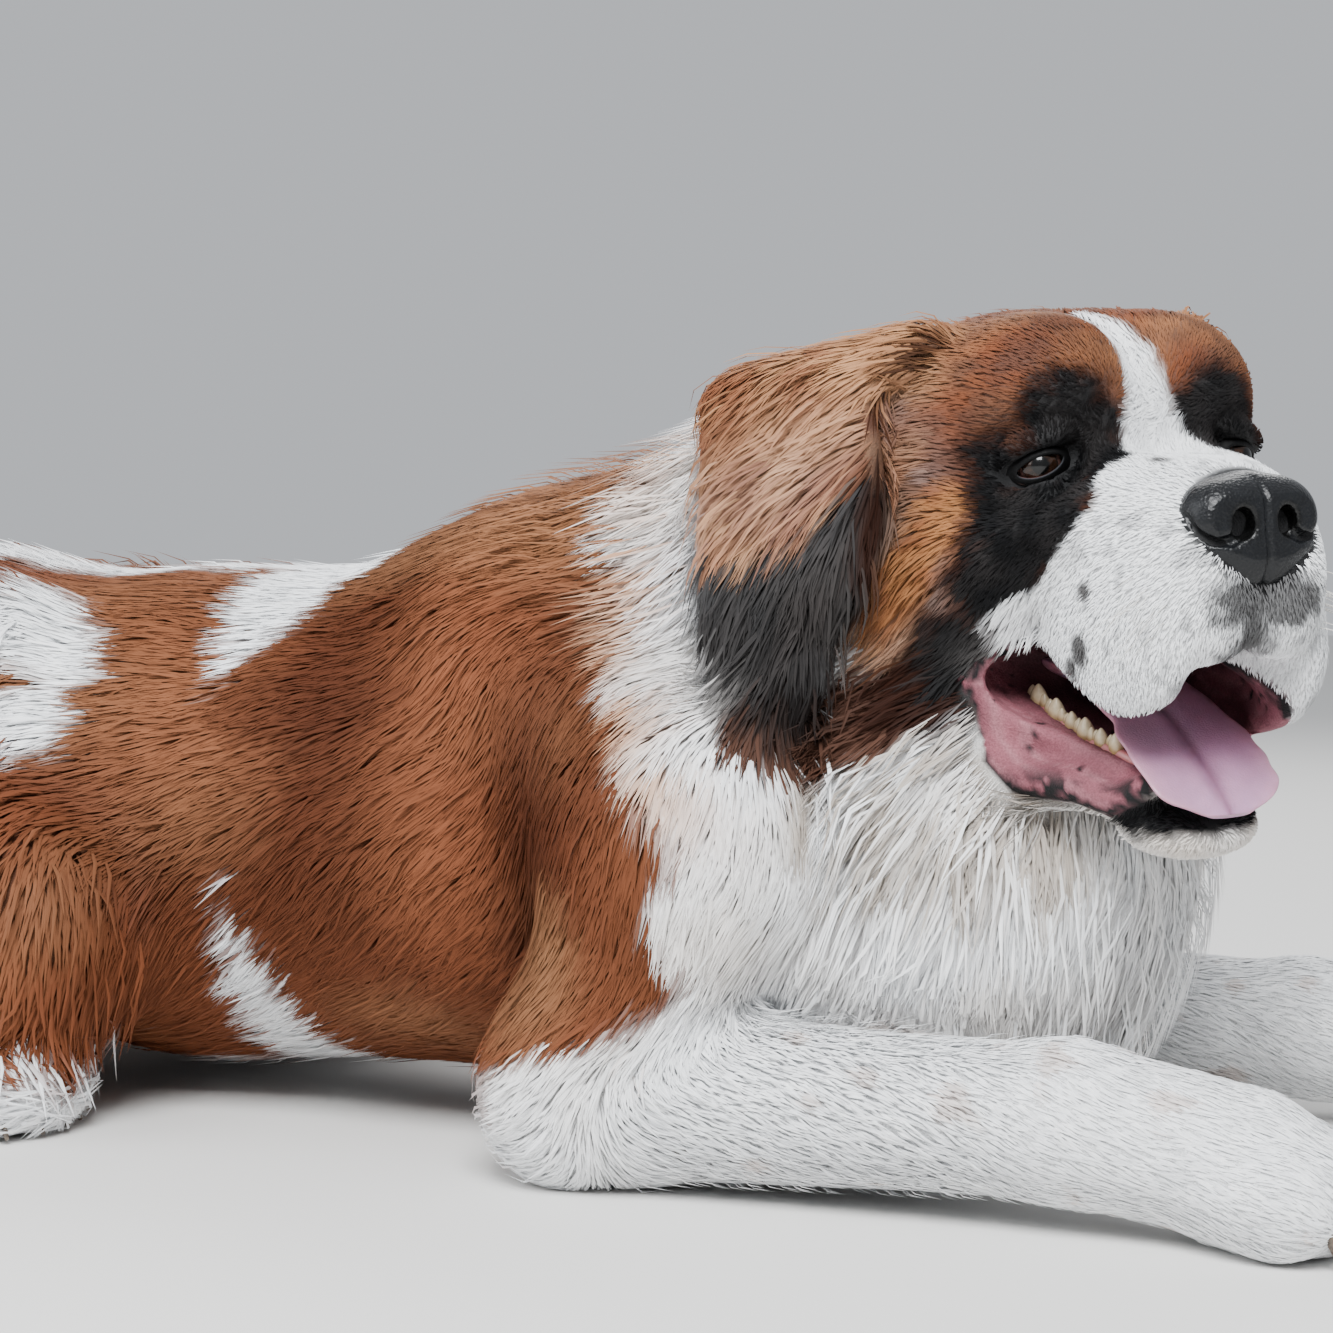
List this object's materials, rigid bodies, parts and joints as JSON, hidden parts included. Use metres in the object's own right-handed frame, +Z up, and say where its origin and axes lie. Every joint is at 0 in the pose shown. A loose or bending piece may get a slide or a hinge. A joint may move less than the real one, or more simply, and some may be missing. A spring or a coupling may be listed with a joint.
{
  "type": "saint bernard dog",
  "caption": "Life-size still model of a long-coated Saint Bernard lying down with its forelegs out in front, head up and turned to its right, mouth open and panting.",
  "frame": {"origin": "on the floor under the middle of the box round the dog", "axes": "+X from the rump towards the nose, +Y to the dog's left, +Z up"},
  "size_m": [1.3296, 0.5832, 0.4722],
  "materials": {
    "coat_red": "long soft red-brown hair with darker tips",
    "coat_white": "long soft white hair",
    "nose_leather": "moist black nose leather",
    "tongue": "wet pink tongue",
    "eye": "wet dark brown eye"
  },
  "bodies": {
    "root": {"head": "coat_red", "lower_jaw": "coat_white", "ear_right": "coat_red", "ear_left": "coat_red", "neck": "coat_white", "torso": "coat_red", "tail_root": "coat_red", "tail_tip": "coat_red", "shoulder_right": "coat_red", "shoulder_left": "coat_red", "foreleg_right": "coat_white", "foreleg_left": "coat_white", "hindleg_right": "coat_red", "hindleg_left": "coat_red", "nose": "nose_leather", "tongue": "tongue", "eye_right": "eye", "eye_left": "eye"}
  },
  "joints": []
}
